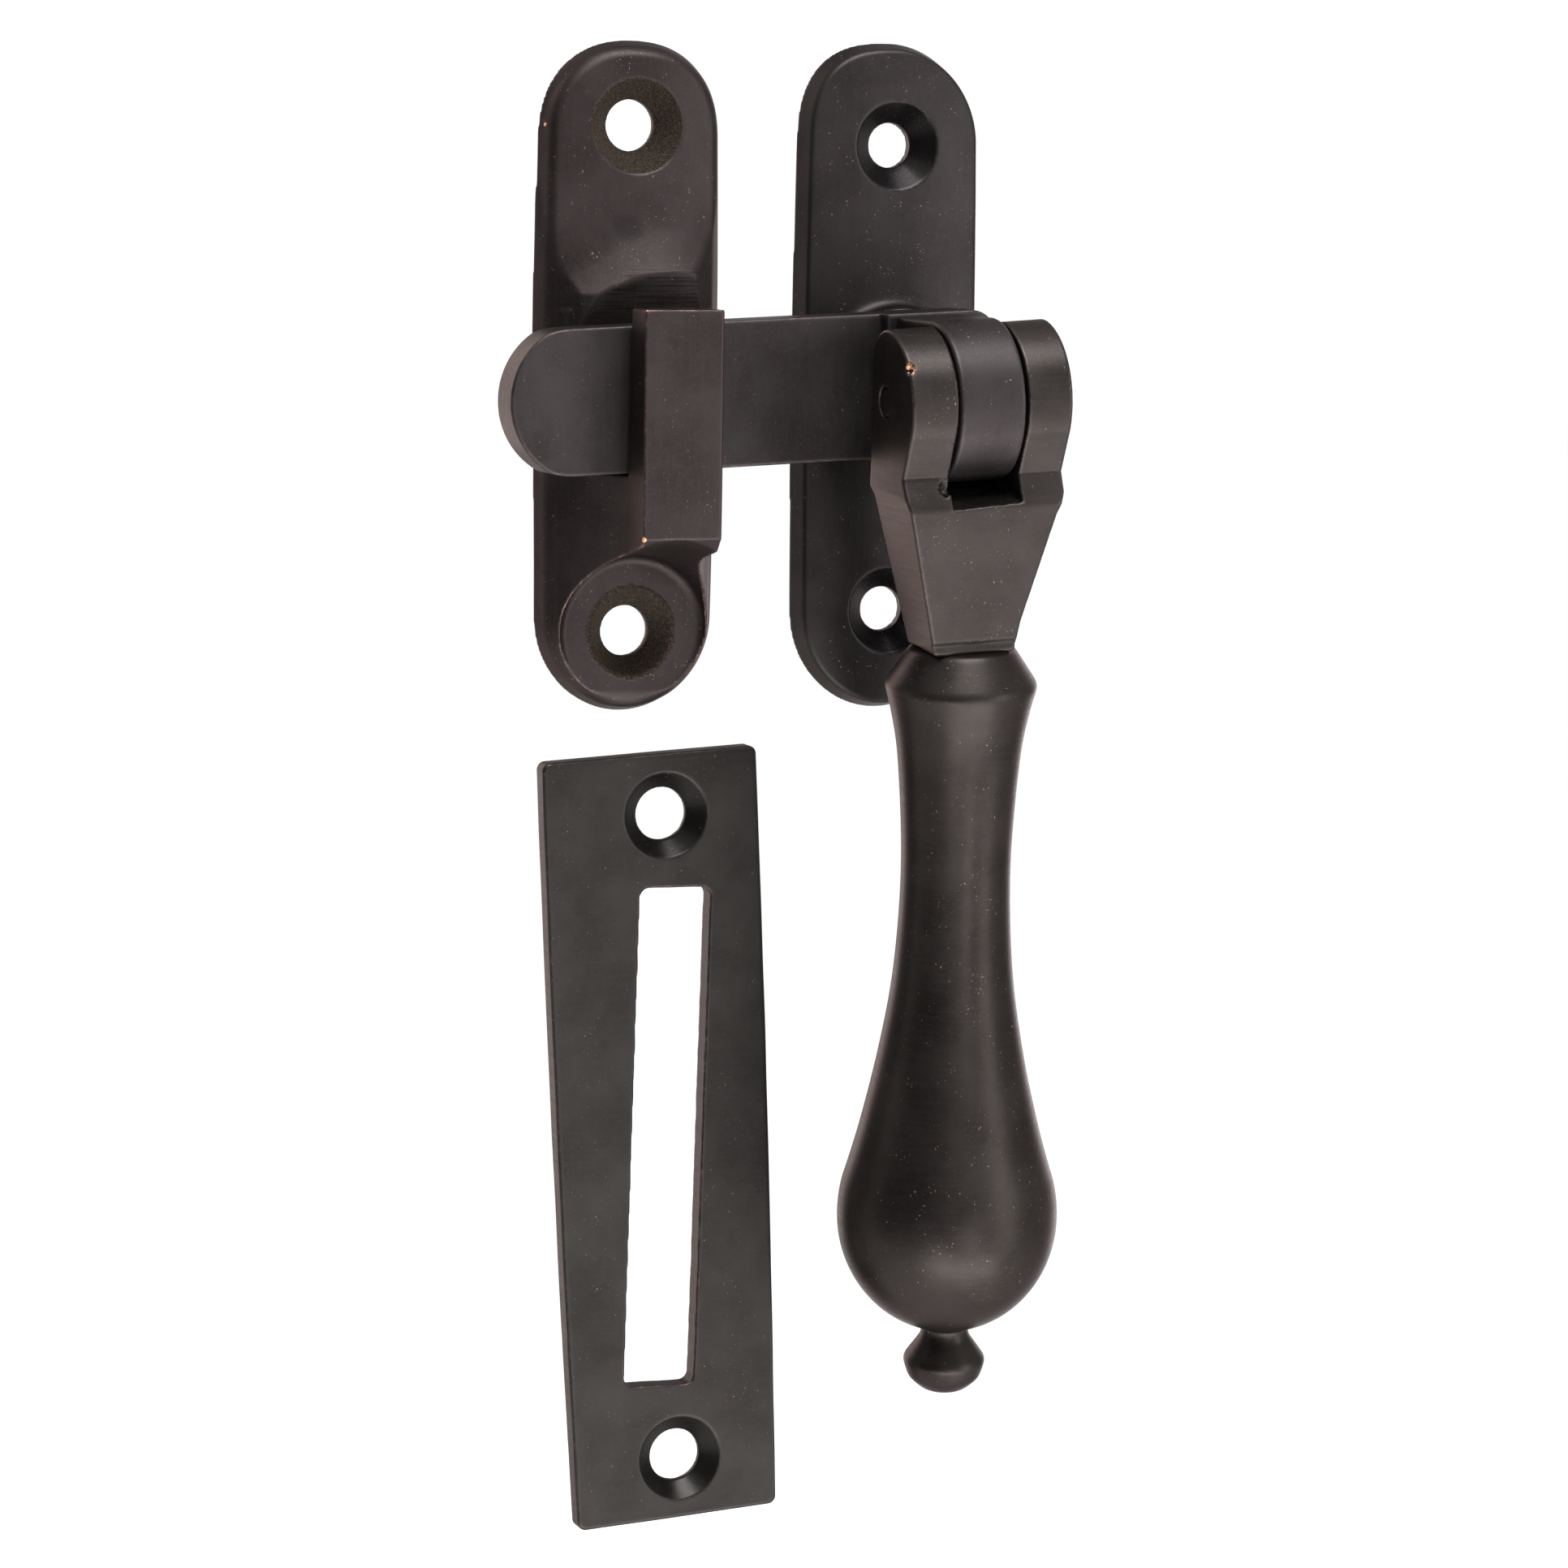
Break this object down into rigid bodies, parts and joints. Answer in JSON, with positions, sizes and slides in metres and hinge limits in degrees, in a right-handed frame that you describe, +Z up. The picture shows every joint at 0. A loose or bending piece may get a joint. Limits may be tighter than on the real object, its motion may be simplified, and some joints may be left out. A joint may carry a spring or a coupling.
{
  "type": "casement window latch",
  "caption": "Surface casement latch: a pivoting bar with a hinged drop handle falls into a hook keeper, with a slotted mortice strike plate.",
  "frame": {"origin": "on the pivot axis of the latch bar, at the flat back face of the sash plate", "axes": "+Z up, +X to the right when facing the latch, +Y into the wood that the plates are screwed to"},
  "size_m": [0.0572, 0.0305, 0.1488],
  "materials": {
    "plate_bronze": "dark oil-rubbed patina, satin",
    "bar_bronze": "dark oil-rubbed patina, brushed satin",
    "handle_bronze": "dark oil-rubbed patina, satin",
    "keeper_bronze": "dark oil-rubbed patina, brushed, raw countersinks",
    "strike_bronze": "dark oil-rubbed patina, satin",
    "pin_bronze": "dark patina, filed flush",
    "washer_bronze": "dull, worn"
  },
  "bodies": {
    "fixed_plates": {"sash_plate": "plate_bronze", "spring_washer": "washer_bronze", "keeper": "keeper_bronze", "strike_plate": "strike_bronze"},
    "latch": {"latch_bar": "bar_bronze", "hinge_stud": "bar_bronze", "back_washer": "washer_bronze"},
    "handle": {"handle_fork": "handle_bronze", "handle_grip": "handle_bronze", "hinge_pin": "pin_bronze"}
  },
  "joints": [
    {"name": "latch_turn", "type": "hinge", "parent": "fixed_plates", "child": "latch", "pos_m": [0, -0.006, 0], "axis": [0, 1, 0], "range_deg": [0, 40]},
    {"name": "handle_fold", "type": "hinge", "parent": "latch", "child": "handle", "pos_m": [0.00004, -0.0208, -0.0008], "axis": [-0.999, 0, -0.0454], "range_deg": [0, 96]}
  ]
}
